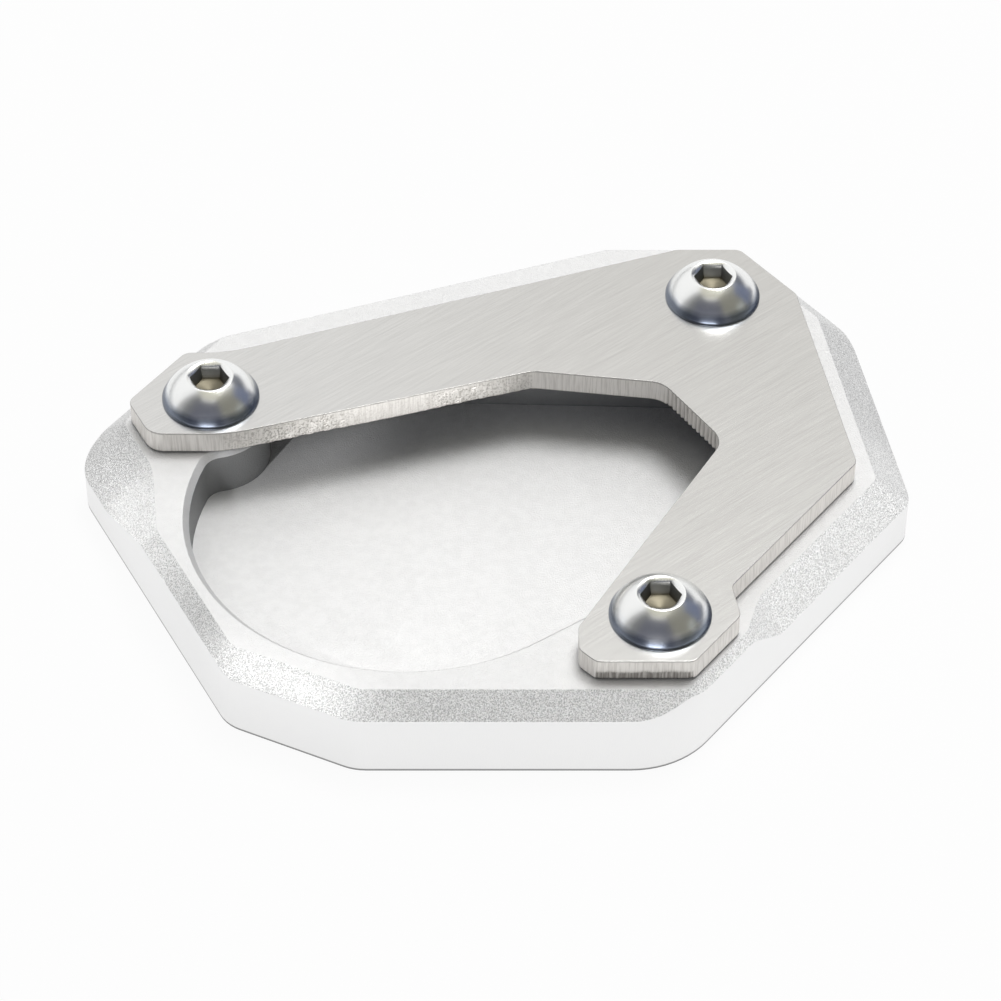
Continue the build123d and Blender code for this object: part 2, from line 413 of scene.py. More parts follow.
@dataclass(frozen=True)
class PlatedScrew:
    """Bright zinc plating with a blue and straw tint."""

    colour: Colour = (0.92, 0.92, 0.90)
    blue: Colour = (0.78, 0.82, 0.88)
    # Painted shade: the dome's outer ring is coloured dark blue, which also dims the light that the
    # dome mirrors onto the clamp.
    rim: Colour = (0.24, 0.27, 0.33)
    # The socket's walls and floor are coloured darker with depth: painted shade, with a straw tint
    # at the floor.
    wall: Colour = (0.36, 0.36, 0.345)
    straw: Colour = (0.22, 0.20, 0.15)
    rough: float = 0.26
    socket_rough: float = 0.18
    pit: float = 0.00012
    pit_rough: float = 0.05
    pit_depth: float = 0.0000012
    cloud: float = 0.0022
    blue_span: Span = (0.55, 0.95)
    blue_share: Span = (0.15, 0.75)
    rim_span: Span = (0.68, 0.86)
    wall_span: Span = (0.15, 0.40)
    straw_span: Span = (0.72, 0.95)
    blue_drift: float = 0.5
    rim_drift: float = 0.12
    straw_drift: float = 0.2

    def make(self) -> bpy.types.Material:
        """Make the screws' material.

        Returns:
            The material, which reads the place across the head and the depth in the socket.
        """
        finish = Finish(Slot.SCREWS.value)
        across, inside = (finish.share(name) for name in ("across", "inside"))
        uneven = finish.speckle(self.cloud) - 0.5
        pits = finish.speckle(self.pit)
        drifted = across + uneven * self.blue_drift
        blued = finish.between(drifted, self.blue_span, *self.blue_share)
        # The dome darkens towards its rim: painted shade.
        painted_rim_shade = finish.between(across + uneven * self.rim_drift, self.rim_span)
        outer = finish.blend(painted_rim_shade, finish.blend(blued, self.colour, self.blue), self.rim)
        # Darker deeper in the socket: painted shade on the walls, and straw tint with painted shade
        # at the floor.
        socket_painted_shade = finish.between(inside, self.wall_span)
        straw_tint_and_painted_shade = finish.between(inside + uneven * self.straw_drift, self.straw_span)
        colour = finish.blend(straw_tint_and_painted_shade, finish.blend(socket_painted_shade, outer, self.wall), self.straw)
        rough = self.rough + inside * self.socket_rough + (pits - 0.5) * self.pit_rough
        return finish.metal(colour, rough, finish.bump(pits, self.pit_depth))


def add_object(name: str, data: bpy.types.ID) -> bpy.types.Object:
    """Put a mesh, lamp or camera in the scene at the origin.

    Args:
        name: The object's name.
        data: Its mesh, lamp or camera.

    Returns:
        The object.
    """
    made = bpy.data.objects.new(name, data)
    bpy.context.scene.collection.objects.link(made)
    return made


def direction(azimuth: float, elevation: float) -> Vector:
    """Return the unit vector towards an azimuth and elevation, in degrees."""
    turn, up = math.radians(azimuth), math.radians(elevation)
    return Vector((math.cos(turn) * math.cos(up), math.sin(turn) * math.cos(up), math.sin(up)))


def merged(node: Node) -> bmesh.types.BMesh:
    """Copy a CAD node's mesh and join its loose triangles.

    Args:
        node: The CAD node.

    Returns:
        The joined copy.
    """
    mesh = bmesh.new()
    mesh.from_mesh(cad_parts[node.value].data)
    bmesh.ops.remove_doubles(mesh, verts=mesh.verts, dist=WELD)
    return mesh


def skin(mesh: bmesh.types.BMesh, rings: list[Ring]) -> None:
    """Join each ring of corners to the next with smooth faces.

    Args:
        mesh: The mesh that the corners are in.
        rings: The rings, all with the same number of corners.
    """
    for below, above in zip(rings, rings[1:]):
        for i in range(len(below)):
            j = (i + 1) % len(below)
            mesh.faces.new((below[i], below[j], above[j], above[i])).smooth = True


def bake(made: bpy.types.Object) -> bpy.types.Object:
    """Turn an object with live modifiers into one with a plain mesh.

    Args:
        made: The object with its modifiers.

    Returns:
        The same object, with the plain mesh and no modifier.
    """
    bpy.context.view_layer.update()
    graph = bpy.context.evaluated_depsgraph_get()
    plain = bpy.data.meshes.new_from_object(made.evaluated_get(graph), depsgraph=graph)
    made.modifiers.clear()
    made.data = plain
    return made


def adopt(made: bpy.types.Object, node: Node) -> bpy.types.Object:
    """Let a finished piece stand for its CAD node.

    Args:
        made: The finished piece.
        node: The CAD node that it stands for.

    Returns:
        The same piece.
    """
    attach(made, BODY)
    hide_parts(node.value)
    log.info("%s: %d faces", made.name, len(made.data.polygons))
    return made


@dataclass
class Pad:
    """The foot pad, with its sharp edges just broken."""

    edge_round: float = 0.14 * MM
    round_steps: int = 2
    area_weight: int = 100
    sharp_from: float = 24.0
    flat_within: float = 0.4
    wall_lean: float = 0.35
    bevel_lean: float = 0.93
    pocket_top: float = 8.0 * MM

    def build(self) -> bpy.types.Object:
        """Round the pad's edges.

        Returns:
            The pad, with its faces marked.
        """
        mesh = merged(Node.PAD)
        limit = math.radians(self.flat_within)
        bmesh.ops.dissolve_limit(mesh, angle_limit=limit, verts=mesh.verts, edges=mesh.edges)
        data = bpy.data.meshes.new("pad")
        mesh.to_mesh(data)
        mesh.free()
        made = add_object("pad", data)
        for face in data.polygons:
            face.use_smooth = True
        rounding = made.modifiers.new("edge_round", "BEVEL")
        rounding.width = self.edge_round
        rounding.segments = self.round_steps
        rounding.limit_method = "ANGLE"
        rounding.angle_limit = math.radians(self.sharp_from)
        rounding.use_clamp_overlap = True
        evened = made.modifiers.new("even_faces", "WEIGHTED_NORMAL")
        evened.mode = "FACE_AREA"
        evened.weight = self.area_weight
        return self.mark(bake(made))

    def mark(self, made: bpy.types.Object) -> bpy.types.Object:
        """Note which faces are bevels, outer walls and pocket walls.

        Args:
            made: The pad with its plain mesh.

        Returns:
            The same pad, with the shares as face attributes.
        """
        faces = made.data.polygons
        outer = [face.normal.xy.dot(face.center.xy) > 0 for face in faces]
        lean = [abs(face.normal.z) for face in faces]
        steep, sloped = self.wall_lean, self.bevel_lean
        limits = [sloped if face.center.z < self.pocket_top else steep for face in faces]
        kinds = {
            "bevel": [out and steep < z < sloped for out, z in zip(outer, lean)],
            "wall": [out and z <= steep for out, z in zip(outer, lean)],
            "pocket": [not out and z <= most for out, z, most in zip(outer, lean, limits)],
        }
        for name, shares in kinds.items():
            share = made.data.attributes.new(name, "FLOAT", "FACE")
            share.data.foreach_set("value", [float(held) for held in shares])
        return made

    def dress(self, made: bpy.types.Object) -> None:
        """Give the pad its blasted finish.

        Args:
            made: The pad.
        """
        made.data.materials.clear()
        made.data.materials.append(BlastedAluminium().make())
        adopt(made, Node.PAD)


@dataclass
class Clamp:
    """The clamp plate: a brushed sheet with a sheared outline.

    The marks on the cut edge are in millimetres, and their heights are shares of the plate's
    thickness. A noise holds the width of its lumps, how fast it changes upwards, and its seed.
    Depths hold the least one and what is added, and a line its height and how far it wanders.
    """

    step: float = 0.13 * MM
    top_round: float = 0.035 * MM
    foot_inset: float = 0.45 * MM
    foot_height: float = 0.27 * MM
    rim: float = 0.06 * MM
    hole_step: float = 0.286 * MM
    ridged_facing: Span = (205.0, 222.0)
    torn_facing: Span = (276.0, 296.0)
    sheared_facing: Span = (240.0, 300.0)
    ridged_behind: float = -10 * MM
    torn_left_of: float = 5 * MM
    sheared_before: float = -20 * MM
    rows: int = 12
    arc_steps: int = 3
    upright_within: float = 0.2
    score_noise: Triple = (0.16, 0.7, 3.1)
    lump_noise: Triple = (0.6, 2.2, 1.3)
    wave_noise: Triple = (1.1, 0.0, 7.7)
    score_depth: float = 0.03
    ridge_depths: Span = (0.05, 0.25)
    break_depths: Span = (0.05, 0.09)
    tear_depths: Span = (0.04, 0.12)
    lump_level: float = 0.35
    ridge_width: float = 0.66
    ridge_sway: float = 0.15
    ridge_shade: float = 0.95
    ridge_power: float = 0.75
    ridge_top: float = 1.02
    ridge_fade: float = 0.15
    break_line: Span = (0.48, 0.06)
    tear_line: Span = (0.95, 0.10)
    line_fade: float = 0.12
    face_rim: float = 0.02 * MM
    # The top edge's rounding is painted darker: painted shade that dims the highlight there.
    edge_shade_span: Span = (1.5, 0.02)
    painted_edge_shade: float = 0.5
    gap_shade: float = 2.2
    torn_places: tuple[float, ...] = (-34.0, -25.0, -22.0, -16.0, -13.0, -7.0, -5.0, 2.0)
    torn_strengths: tuple[float, ...] = (0.45, 0.45, 1.00, 1.00, 0.25, 0.25, 1.00, 0.60)

    def loops(self) -> tuple[list[list[Vector]], float, float]:
        """Read the plate's outlines from its CAD node.

        Returns:
            The closed outlines, the longest first, and the heights of the underside and the top.
        """
        low, high = (corner.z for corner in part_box(Node.CLAMP.value))
        mesh = merged(Node.CLAMP)
        walls = [f for f in mesh.faces if abs(f.normal.z) < self.upright_within]
        wall_set = set(walls)
        links: dict[int, list[int]] = {}
        spots: dict[int, Vector] = {}
        middle = (low + high) / 2
        for edge in {e for f in walls for e in f.edges}:
            outside = [f for f in edge.link_faces if f not in wall_set]
            if not outside or max(v.co.z for v in edge.verts) > middle:
                continue
            first, second = edge.verts
            for here, there in ((first, second), (second, first)):
                links.setdefault(here.index, []).append(there.index)
                spots[here.index] = here.co.copy()
        found = []
        left = set(links)
        while left:
            start = min(left)
            loop, here, before = [], start, -1
            while here in left:
                left.discard(here)
                loop.append(spots[here])
                onward = [i for i in links[here] if i != before and i in left]
                before, here = here, min(onward, default=-1)
            found.append(loop)
        mesh.free()
        found.sort(key=lambda loop: -self.length(loop))
        return found, low, high

    @staticmethod
    def length(loop: list[Vector]) -> float:
        """Return the length round a closed outline."""
        return sum((a - b).length for a, b in zip(loop, loop[1:] + loop[:1]))

    @staticmethod
    def spaced(loop: list[Vector], step: float, fewest: int = 24) -> np.ndarray:
        """Space points evenly along a closed outline.

        Args:
            loop: The outline's corners.
            step: About how far apart the points come to lie.
            fewest: The least number of points.

        Returns:
            The points' x and y, counter-clockwise.
        """
        flat = np.array([(p.x, p.y) for p in loop])
        area = np.sum(flat[:, 0] * np.roll(flat[:, 1], -1) - np.roll(flat[:, 0], -1) * flat[:, 1])
        if area < 0:
            flat = flat[::-1]
        ring = np.vstack([flat, flat[:1]])
        along = np.concatenate([[0], np.cumsum(np.linalg.norm(np.diff(ring, axis=0), axis=1))])
        count = max(fewest, round(along[-1] / step))
        places = np.arange(count) * along[-1] / count
        return np.column_stack([np.interp(places, along, ring[:, k]) for k in (0, 1)])

    @staticmethod
    def outward(points: np.ndarray) -> np.ndarray:
        """Find which way an outline faces.

        Args:
            points: The outline's x and y, counter-clockwise.

        Returns:
            A unit vector out of the outline for each point.
        """
        ahead = np.roll(points, -1, axis=0) - np.roll(points, 1, axis=0)
        ahead /= np.linalg.norm(ahead, axis=1)[:, None]
        return np.column_stack([ahead[:, 1], -ahead[:, 0]])

    def edge_kind(self, facing: float, spot: np.ndarray) -> CutEdge:
        """Say how the sheared edge looks at a spot.

        Args:
            facing: The direction that the edge faces, in degrees.
            spot: The spot's x and y.

        Returns:
            The kind of edge.
        """
        ridged, torn, sheared = (
            low <= facing <= high
            for low, high in (self.ridged_facing, self.torn_facing, self.sheared_facing)
        )
        if ridged and spot[0] > 0 and spot[1] > self.ridged_behind:
            return CutEdge.RIDGED
        if torn and spot[0] < self.torn_left_of:
            return CutEdge.TORN
        if sheared and spot[1] < self.sheared_before:
            return CutEdge.SHEARED
        return CutEdge.FINE

    @staticmethod
    def uneven(marks: Triple, along: float, height: float) -> float:
        """Return a noise from -1 to 1 at a place along the outline and a height."""
        width, climb, seed = marks
        return noise.noise(Vector((along / width, height * climb, seed)))

    def bite(self, kind: CutEdge, ragged: float, along: float, height: float) -> float:
        """Say how far the edge's surface lies inside the outline.

        Args:
            kind: How the edge broke.
            ragged: How much of the surface is broken away.
            along: The place along the outline, in millimetres.
            height: The height as a share of the plate's thickness.

        Returns:
            The distance inwards, in metres.
        """
        score = 0.5 + 0.5 * self.uneven(self.score_noise, along, height)
        depth = self.score_depth * score
        if kind is CutEdge.RIDGED:
            least, added = self.ridge_depths
            below_top = min(1.0, (self.ridge_top - height) / self.ridge_fade)
            depth += (least + added * ragged) * below_top
        elif kind is CutEdge.SHEARED:
            least, added = self.break_depths
            depth += ragged * (least + added * score)
        elif kind is CutEdge.TORN:
            least, added = self.tear_depths
            lump = self.uneven(self.lump_noise, along, height)
            depth += ragged * (least + added * max(0.0, self.lump_level + lump))
        return depth * MM

    def raggedness(self, kind: CutEdge, spot: np.ndarray, along: float, height: float) -> float:
        """Say how much of the edge's surface is broken away and not sheared.

        Args:
            kind: How the edge broke.
            spot: The spot's x and y.
            along: The place along the outline, in millimetres.
            height: The height as a share of the plate's thickness.

        Returns:
            A share from 0 to 1.
        """
        if kind is CutEdge.FINE:
            return 0.0
        wave = self.uneven(self.wave_noise, along, height)
        if kind is CutEdge.RIDGED:
            # Darker towards each groove's bottom: painted shade in the grooves.
            ridge = abs(math.sin(math.pi * (along / self.ridge_width + self.ridge_sway * wave)))
            return self.ridge_shade * (1 - ridge) ** self.ridge_power
        level, wander = self.tear_line if kind is CutEdge.TORN else self.break_line
        broken = min(1.0, max(0.0, (level + wander * wave - height) / self.line_fade))
        if kind is CutEdge.SHEARED:
            return broken
        return broken * float(np.interp(spot[0] / MM, self.torn_places, self.torn_strengths))

    def build(self) -> bpy.types.Object:
        """Build the plate with its rounded and sheared edges.

        Returns:
            The plate.
        """
        loops, low, high = self.loops()
        made = bmesh.new()
        for name in EDGE_LAYERS:
            made.verts.layers.float.new(name)
        tops, feet = [], []
        for number, loop in enumerate(loops):
            outer = number == 0
            points = self.spaced(loop, self.step if outer else self.hole_step)
            if not outer:
                points = points[::-1]
            top, foot = self._wall(made, points, low, high, outer)
            tops.append(top)
            feet.append(foot)
        self._cap(made, tops, True)
        self._cap(made, feet, False)
        data = bpy.data.meshes.new("clamp_plate_piece")
        made.to_mesh(data)
        made.free()
        return add_object("clamp", data)

    def _wall(
        self, made: bmesh.types.BMesh, points: np.ndarray, low: float, high: float, outer: bool
    ) -> tuple[Ring, Ring]:
        """Build the wall along one outline.

        Args:
            made: The mesh to add to.
            points: The outline, with the material on its left.
            low: The height of the underside.
            high: The height of the top.
            outer: Whether this is the sheared outline, and not a screw hole.

        Returns:
            The rings of corners that the top and the underside start from.
        """
        faces = self.outward(points)
        cut, painted_shade, torn, frayed = (made.verts.layers.float[name] for name in EDGE_LAYERS)
        spacing = self.length([Vector((*p, 0)) for p in points]) / len(points) / MM
        rings = []
        bearings = np.degrees(np.arctan2(faces[:, 1], faces[:, 0])) % 360
        kinds = [self.edge_kind(b, p) for b, p in zip(bearings, points)]
        # Between these heights the top edge's rounding gets painted shade.
        edge_shade_low, edge_shade_high = (high - part * self.top_round for part in self.edge_shade_span)
        for inset, z in self._rounded(low, high):
            share = (z - low) / (high - low)
            # Painted shadow that fades up from the foot's crevice.
            gap_shadow = self.gap_shade * (1 - (z - low) / self.foot_height)
            dark = self.painted_edge_shade if edge_shade_low < z < edge_shade_high else min(1.0, max(0.0, gap_shadow))
            ring = []
            for i, (point, face) in enumerate(zip(points, faces)):
                ragged = self.raggedness(kinds[i], point, i * spacing, share)
                depth = self.bite(kinds[i], ragged, i * spacing, share) if outer else 0.0
                x, y = point - face * (inset + depth)
                vert = made.verts.new((x, y, z))
                vert[cut] = 0.0 if z > high - self.face_rim else 1.0
                vert[painted_shade] = dark
                vert[torn if kinds[i] is CutEdge.TORN else frayed] = ragged
                ring.append(vert)
            rings.append(ring)
        skin(made, rings)
        return rings[-1], rings[0]

    def _rounded(self, low: float, high: float) -> list[tuple[float, float]]:
        """Draw the wall's section.

        Args:
            low: The height of the underside.
            high: The height of the top.

        Returns:
            Pairs of inset and height, from the underside up.
        """
        turns = [math.pi / 2 * k / self.arc_steps for k in range(self.arc_steps + 1)]
        section = [
            (self.foot_inset * (1 - math.sin(t)), low + self.foot_height * (1 - math.cos(t)))
            for t in turns
        ]
        start, end = low + self.foot_height, high - self.top_round
        section += [(0.0, start + (end - start) * k / self.rows) for k in range(1, self.rows)]
        r = self.top_round
        section += [(r * (1 - math.cos(t)), high - r * (1 - math.sin(t))) for t in turns]
        section.append((r + self.rim, high))
        return section

    @staticmethod
    def _cap(made: bmesh.types.BMesh, rings: list[Ring], up: bool) -> None:
        """Close the plate's top or underside.

        Args:
            made: The mesh to add to.
            rings: The rings of corners, the outline's first.
            up: Whether the face looks up.
        """
        corners = [v for ring in rings for v in ring]
        for a, b, c in tessellate_polygon([[v.co for v in ring] for ring in rings]):
            first, second, third = (corners[i] for i in (a, b, c))
            turn = (second.co - first.co).cross(third.co - first.co).z
            order = (first, second, third) if (turn > 0) == up else (first, third, second)
            if abs(turn) > SLIVER:
                made.faces.new(order)

    def dress(self, made: bpy.types.Object) -> None:
        """Give the plate its brushed finish."""
        made.data.materials.append(BrushedSteel().make())
        adopt(made, Node.CLAMP)


@dataclass
class Screws:
    """The three button-head socket screws.

    Three small forms are in millimetres: the head's foot as insets and heights, the lip as steps
    out and up, each with its share of the depth, and the drill point as radii and depths.
    """

    head_radius: float = 4.75 * MM
    head_height: float = 2.75 * MM
    rim: float = 0.2 * MM
    mouth_radius: float = 2.25 * MM
    mouth_slope: float = 30.0
    across_flats: float = 3.0 * MM
    lead_in: float = 0.19 * MM
    socket_depth: float = 1.6 * MM
    shank_radius: float = 2.42 * MM
    shank_length: float = 8.0 * MM
    tip_bevel: float = 0.5 * MM
    pitch: float = 0.8 * MM
    thread_rib: float = 0.19 * MM
    thread_sunk: float = 0.12 * MM
    thread_below_head: float = 0.3 * MM
    thread_ends: float = 0.9 * MM
    head_foot: tuple[Span, ...] = ((0.10, 0.0), (0.03, 0.03), (0.0, 0.09))
    mouth_break: Span = (0.05 * MM, 0.04 * MM)
    mouth_sunk: float = 0.02 * MM
    lip: tuple[Triple, ...] = ((0.03, 0.01, 0.1), (-0.01, -0.04, 0.45))
    floor_round: Span = (0.12 * MM, 0.15 * MM)
    wall_depth: float = 0.8
    drill_point: tuple[Span, ...] = ((1.2, 0.02), (0.3, 0.35))
    turn_steps: int = 20
    rib_sides: int = 3
    dome_steps: int = 22
    segments: int = 96
    sharp_from: float = 38.0

    def centres(self) -> list[Vector]:
        """Find the screws in their CAD node.

        Returns:
            The middles of the three screws at the clamp's top face, from left to right.
        """
        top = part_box(Node.CLAMP.value)[1].z
        mesh = merged(Node.SCREWS)
        left = set(mesh.verts)
        found = []
        while left:
            island, edge = set(), [next(iter(left))]
            while edge:
                vert = edge.pop()
                if vert in island:
                    continue
                island.add(vert)
                edge += [e.other_vert(vert) for e in vert.link_edges]
            left -= island
            spots = np.array([v.co for v in island])
            x, y = (spots[:, :2].min(axis=0) + spots[:, :2].max(axis=0)) / 2
            found.append(Vector((x, y, top)))
        mesh.free()
        return sorted(found, key=lambda spot: spot.x)

    def section(self) -> list[tuple[float, float, float]]:
        """Draw the screw's section from the shank's tip to the socket's mouth.

        Returns:
            Radius, height and the place across the dome, from 1 at its rim to 0.
        """
        rise = math.sqrt(self.head_radius**2 - self.mouth_radius**2)
        drop = self.head_height - self.rim
        below = (rise**2 - drop**2) / (2 * drop) - self.rim
        dome = math.hypot(self.head_radius, self.rim + below)
        start = math.asin((self.rim + below) / dome)
        end = math.asin((self.head_height + below) / dome)
        tip = -self.shank_length
        section = [
            (self.shank_radius - self.tip_bevel, tip, 0.0),
            (self.shank_radius, tip + self.tip_bevel, 0.0),
            (self.shank_radius, 0.0, 0.0),
        ]
        section += [(self.head_radius - into * MM, up * MM, 1.0) for into, up in self.head_foot]
        for k in range(self.dome_steps + 1):
            share = k / self.dome_steps
            turn = start + (end - start) * k / self.dome_steps
            section.append((dome * math.cos(turn), dome * math.sin(turn) - below, 1 - share))
        outside, within = self.mouth_break
        section[-1] = (self.mouth_radius + outside, section[-1][1] - self.mouth_sunk, 0.0)
        section.append((self.mouth_radius - within, self.head_height - self.mouth_sunk, 0.0))
        return section

    def head(self) -> bpy.types.Mesh:
        """Build one screw.

        Returns:
            The screw's mesh, with its head's underside at height 0.
        """
        mesh = bmesh.new()
        across = mesh.verts.layers.float.new("across")
        inside = mesh.verts.layers.float.new("inside")
        turns = [2 * math.pi * k / self.segments for k in range(self.segments)]
        rings: list[Ring] = []

        def ring(radii: Any, heights: Any, place: float, deep: float) -> None:
            """Add a ring of corners at a place across the dome and a share of the depth."""
            made = []
            for turn, radius, z in np.broadcast(turns, radii, heights):
                vert = mesh.verts.new((radius * math.cos(turn), radius * math.sin(turn), z))
                vert[across], vert[inside] = place, deep
                made.append(vert)
            rings.append(made)

        for radius, z, place in self.section():
            ring(radius, z, place, 0.0)
        half = self.across_flats / 2
        hexagon = [half / math.cos(turn % (math.pi / 3) - math.pi / 6) for turn in turns]
        opened = [r + self.lead_in for r in hexagon]
        slope = math.tan(math.radians(self.mouth_slope))
        edge = [self.head_height - (self.mouth_radius - r) * slope for r in opened]
        floor = self.head_height - self.socket_depth
        for out, up, deep in self.lip:
            ring([r + out * MM for r in opened], [z + up * MM for z in edge], 0.0, deep)
        inset, rise = self.floor_round
        ring(hexagon, floor + rise, 0.0, self.wall_depth)
        ring([r - inset for r in hexagon], floor, 0.0, 1.0)
        for radius, sunk in self.drill_point:
            ring(radius * MM, floor - sunk * MM, 0.0, 1.0)
        skin(mesh, rings)
        mesh.faces.new(rings[0][::-1])
        mesh.faces.new(rings[-1])
        data = bpy.data.meshes.new("screw_form")
        mesh.to_mesh(data)
        mesh.free()
        data.set_sharp_from_angle(angle=math.radians(self.sharp_from))
        return data

    def tree(self) -> bpy.types.NodeTree:
        """Build the node tree that sets a threaded screw on each point.

        Returns:
            The tree, with the screw's form, finish and thread as its inputs.
        """
        group = bpy.data.node_groups.new("screws_on_points", "GeometryNodeTree")
        nodes = Tree(group)
        face = group.interface
        face.new_socket("Geometry", in_out="OUTPUT", socket_type="NodeSocketGeometry")
        face.new_socket("Geometry", in_out="INPUT", socket_type="NodeSocketGeometry")
        face.new_socket("Form", in_out="INPUT", socket_type="NodeSocketObject")
        face.new_socket("Finish", in_out="INPUT", socket_type="NodeSocketMaterial")
        threads = ("Thread radius", "Thread turns", "Thread length", "Thread rib", "Thread start")
        for name in threads:
            face.new_socket(name, in_out="INPUT", socket_type="NodeSocketFloat")
        given = {
            s.name: nodes.add("NodeGroupInput", output=s.name)
            for s in face.items_tree
            if s.in_out == "INPUT"
        }
        form = nodes.add("GeometryNodeObjectInfo", None, {"Object": given["Form"]}, "Geometry")
        radii = {name: given["Thread radius"] for name in ("Start Radius", "End Radius")}
        turns = {"Resolution": self.turn_steps, "Rotations": given["Thread turns"]}
        winding = {**turns, **radii, "Height": given["Thread length"]}
        spiral = nodes.add("GeometryNodeCurveSpiral", None, winding)
        section = {"Resolution": self.rib_sides, "Radius": given["Thread rib"]}
        rib = nodes.add("GeometryNodeCurvePrimitiveCircle", {"mode": "RADIUS"}, section)
        sweep = {"Curve": spiral, "Profile Curve": rib, "Fill Caps": True}
        cut = nodes.add("GeometryNodeCurveToMesh", None, sweep)
        end = -1 * given["Thread length"] - given["Thread start"]
        shift = nodes.add("ShaderNodeCombineXYZ", None, {"Z": end})
        thread = nodes.add("GeometryNodeTransform", None, {"Geometry": cut, "Translation": shift})
        join = nodes.add("GeometryNodeJoinGeometry", None, {"Geometry": form})
        group.links.new(thread.socket, join.socket.node.inputs[0])
        placed = {"Points": given["Geometry"], "Instance": join}
        set_on = nodes.add("GeometryNodeInstanceOnPoints", None, placed)
        real = nodes.add("GeometryNodeRealizeInstances", None, {"Geometry": set_on})
        coat = {"Geometry": real, "Material": given["Finish"]}
        dressed = nodes.add("GeometryNodeSetMaterial", None, coat)
        nodes.add("NodeGroupOutput", None, {"Geometry": dressed})
        return group

    def build(self) -> bpy.types.Object:
        """Set the three screws.

        Returns:
            The screws as one plain mesh.
        """
        form = add_object("screw_form", self.head())
        spots = bpy.data.meshes.new("screws")
        spots.from_pydata([tuple(c) for c in self.centres()], [], [])
        made = add_object("screws", spots)
        group = self.tree()
        sockets = {s.name: s.identifier for s in group.interface.items_tree if s.in_out == "INPUT"}
        modifier = made.modifiers.new("screws", "NODES")
        modifier.node_group = group
        length = self.shank_length - self.thread_ends
        inputs = {
            "Form": form,
            "Finish": PlatedScrew().make(),
            "Thread radius": self.shank_radius - self.thread_sunk,
            "Thread turns": length / self.pitch,
            "Thread length": length,
            "Thread rib": self.thread_rib,
            "Thread start": self.thread_below_head,
        }
        for name, value in inputs.items():
            modifier[sockets[name]] = value
        bake(made)
        bpy.data.objects.remove(form)
        return made

    def dress(self, made: bpy.types.Object) -> None:
        """Let the plated screws stand for their CAD node."""
        adopt(made, Node.SCREWS)


@dataclass(frozen=True)
class Card:
    """A studio panel round the object that only shows in reflections."""

    name: str
    azimuth: Span
    elevation: Span
    colour: Colour
    distance: float
    columns: int = 18
    rows: int = 12

    def build(self) -> bpy.types.Object:
        """Build the panel as a patch of a ball.

        Returns:
            The panel.
        """
        mesh = bmesh.new()
        grid = []
        for up in np.linspace(*self.elevation, self.rows + 1):
            ways = (direction(turn, up) for turn in np.linspace(*self.azimuth, self.columns + 1))
            grid.append([mesh.verts.new(way * self.distance) for way in ways])
        for below, above in zip(grid, grid[1:]):
            for c in range(self.columns):
                mesh.faces.new((below[c], above[c], above[c + 1], below[c + 1]))
        data = bpy.data.meshes.new(self.name)
        mesh.to_mesh(data)
        mesh.free()
        made = add_object(self.name, data)
        glow = Finish(self.name)
        light = {"Color": (*self.colour, 1.0), "Strength": 1.0}
        shine = glow.add("ShaderNodeEmission", None, light)
        glow.add("ShaderNodeOutputMaterial", None, {"Surface": shine})
        glow.material.cycles.emission_sampling = "NONE"
        data.materials.append(glow.material)
        made.visible_camera = False
        made.visible_diffuse = False
        made.visible_shadow = False
        return made


@dataclass(frozen=True)
class Lamp:
    """A studio lamp that looks at a spot on the object.

    The patch holds a softbox's sides, or those of the patch that a snoot lights, in millimetres.
    """

    name: str
    kind: LampKind
    power: float
    azimuth: float
    elevation: float
    spot: Triple
    patch: Span
    roll: float = 0.0
    distance: float = 0.8
    fade: float = 0.6
    mouth: float = 0.003

    def build(self) -> bpy.types.Object:
        """Hang the lamp on its side of the object.

        Returns:
            The lamp.
        """
        light = bpy.data.lights.new(self.name, self.kind.value)
        light.energy = self.power
        made = add_object(self.name, light)
        width, height = (side * MM for side in self.patch)
        if self.kind is LampKind.SOFTBOX:
            light.shape = "RECTANGLE"
            light.size, light.size_y = width, height
        else:
            light.spot_size = 2 * math.atan(width / 2 / self.distance)
            light.spot_blend = self.fade
            light.shadow_soft_size = self.mouth
            made.scale.y = height / width
        way = direction(self.azimuth, self.elevation)
        made.location = Vector(self.spot) * MM + way * self.distance
        made.rotation_mode = "QUATERNION"
        rolled = Quaternion((0.0, 0.0, 1.0), math.radians(self.roll))
        made.rotation_quaternion = way.to_track_quat("Z", "Y") @ rolled
        return made


